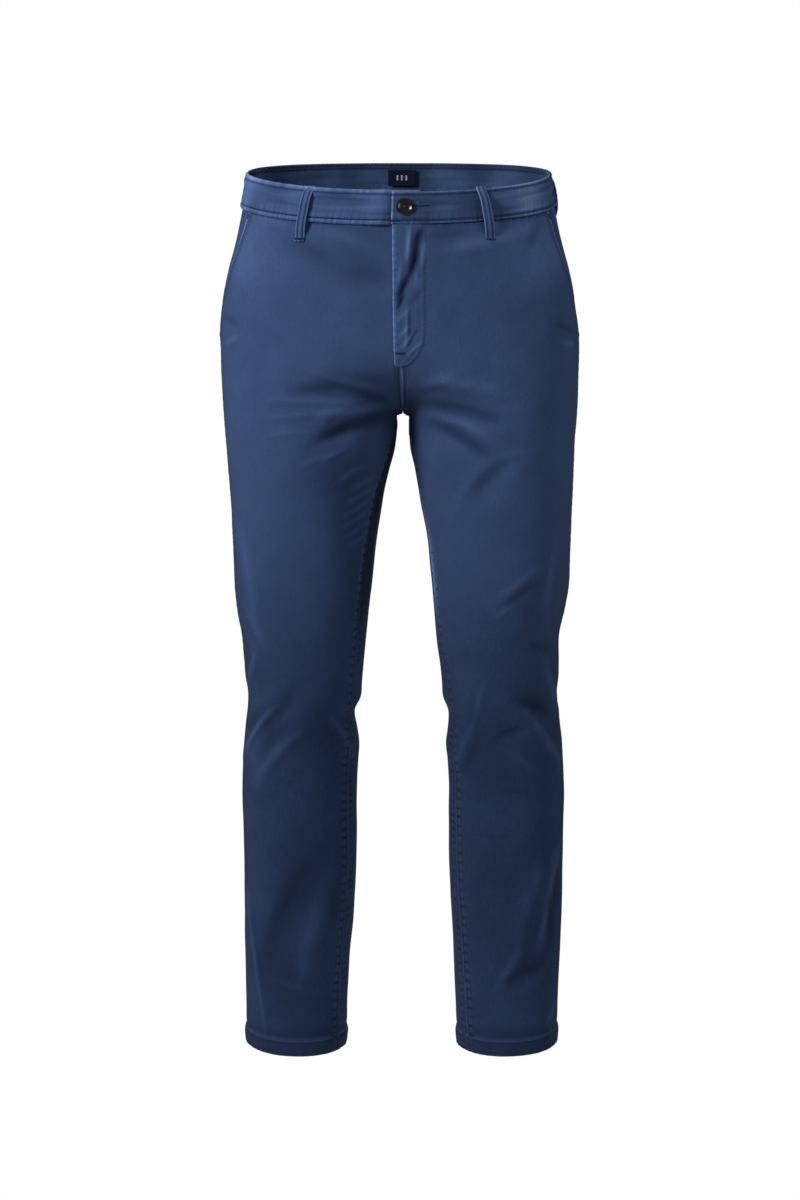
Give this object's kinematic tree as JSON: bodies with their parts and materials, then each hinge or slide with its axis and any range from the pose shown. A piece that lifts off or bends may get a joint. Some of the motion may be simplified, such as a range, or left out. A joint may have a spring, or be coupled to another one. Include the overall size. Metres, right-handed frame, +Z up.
{
  "type": "trousers",
  "caption": "Slim chino trousers in hollow worn form, with slant front pockets, a J-stitched fly, a buttoned waistband with belt loops, back welt pockets and turned hems.",
  "frame": {"origin": "middle of the waist, level with the top edge of the waistband at the side seams, where the wearer holds the garment", "axes": "+X to the wearer's left, -Y to the front, +Z up"},
  "size_m": [0.4417, 0.2345, 1.1038],
  "materials": {
    "twill": "matt washed blue cotton twill, lighter where the seams are worn",
    "horn": "dark horn-look resin, polished",
    "label": "very dark blue woven label with light marks"
  },
  "bodies": {
    "root": {"front_left": "twill", "front_right": "twill", "back_left": "twill", "back_right": "twill", "pocket_facing_left": "twill", "pocket_facing_right": "twill", "fly_placket": "twill", "waistband_front_left": "twill", "waistband_front_right": "twill", "waistband_back": "twill", "belt_loop_front_right": "twill", "belt_loop_front_left": "twill", "belt_loop_side_right": "twill", "belt_loop_side_left": "twill", "belt_loop_back": "twill", "back_welt_left": "twill", "back_welt_right": "twill", "waist_button": "horn", "woven_label": "label"}
  },
  "joints": []
}
